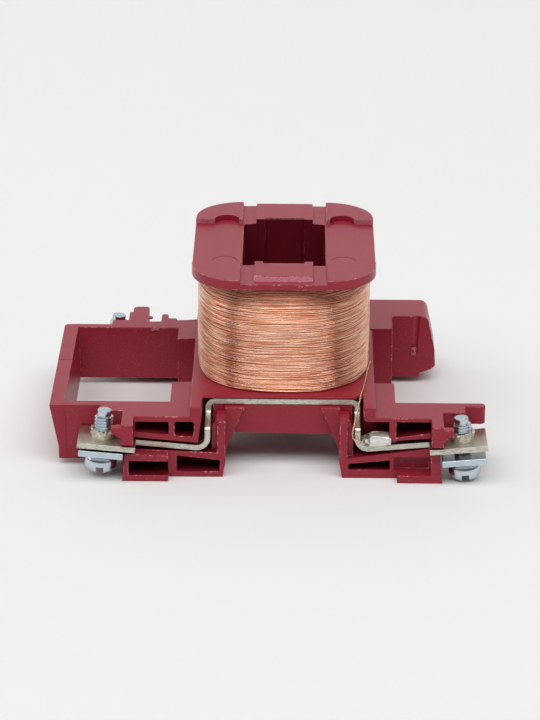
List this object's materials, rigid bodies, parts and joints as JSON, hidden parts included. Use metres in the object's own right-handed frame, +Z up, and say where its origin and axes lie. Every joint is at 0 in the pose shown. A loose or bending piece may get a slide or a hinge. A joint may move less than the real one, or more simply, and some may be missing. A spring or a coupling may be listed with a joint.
{
  "type": "contactor coil",
  "caption": "Contactor coil: copper winding on a moulded bobbin whose base carries clamp-screw terminals, linked by bent tinned strips, around a rectangular core passage.",
  "frame": {"origin": "on the axis of the core passage, level with the underside of the feet", "axes": "+Z up along the core passage, -Y towards the linked pair of terminals, +X towards the plain rear block"},
  "size_m": [0.0816, 0.0624, 0.0367],
  "materials": {
    "bobbin_plastic": "satin dark red thermoset moulding",
    "copper_wire": "enamelled copper wire",
    "tinned_strip": "tinned strip with sheared edges",
    "zinc_steel": "bright zinc plate",
    "solder": "smooth soft solder"
  },
  "bodies": {
    "base": {"bobbin_frame": "bobbin_plastic", "winding": "copper_wire", "front_lead": "copper_wire", "rear_lead": "copper_wire", "front_link_strip": "tinned_strip", "rear_terminal_strip": "tinned_strip", "front_solder": "solder", "rear_solder": "solder"},
    "front_left_clamp_body": {"front_left_clamp": "zinc_steel"},
    "front_left_screw_body": {"front_left_screw": "zinc_steel"},
    "front_right_clamp_body": {"front_right_clamp": "zinc_steel"},
    "front_right_screw_body": {"front_right_screw": "zinc_steel"},
    "rear_left_clamp_body": {"rear_left_clamp": "zinc_steel"},
    "rear_left_screw_body": {"rear_left_screw": "zinc_steel"}
  },
  "joints": [
    {"name": "front_left_clamp_slide", "type": "slide", "parent": "base", "child": "front_left_clamp_body", "axis": [0.0872, 0, 0.9962], "range_m": [-0.0011, 0.00048]},
    {"name": "front_left_screw_turn", "type": "hinge", "parent": "front_left_clamp_body", "child": "front_left_screw_body", "pos_m": [-0.0334, -0.02825, 0.0079], "axis": [0.0872, 0, 0.9962], "range_deg": [-660.1, 288.1]},
    {"name": "front_right_clamp_slide", "type": "slide", "parent": "base", "child": "front_right_clamp_body", "axis": [-0.0872, 0, 0.9962], "range_m": [-0.0001, 0.00148]},
    {"name": "front_right_screw_turn", "type": "hinge", "parent": "front_right_clamp_body", "child": "front_right_screw_body", "pos_m": [0.0334, -0.02825, 0.0079], "axis": [-0.0872, 0, 0.9962], "range_deg": [-60.1, 888.1]},
    {"name": "rear_left_clamp_slide", "type": "slide", "parent": "base", "child": "rear_left_clamp_body", "axis": [0.0872, 0, 0.9962], "range_m": [-0.0001, 0.00148]},
    {"name": "rear_left_screw_turn", "type": "hinge", "parent": "rear_left_clamp_body", "child": "rear_left_screw_body", "pos_m": [-0.0334, 0.024, 0.0079], "axis": [0.0872, 0, 0.9962], "range_deg": [-60.1, 888.1]}
  ],
  "couplings": [
    {"joint": "front_left_screw_turn", "follows": "front_left_clamp_slide", "rad_per_m": 10472},
    {"joint": "front_right_screw_turn", "follows": "front_right_clamp_slide", "rad_per_m": 10472},
    {"joint": "rear_left_screw_turn", "follows": "rear_left_clamp_slide", "rad_per_m": 10472}
  ]
}
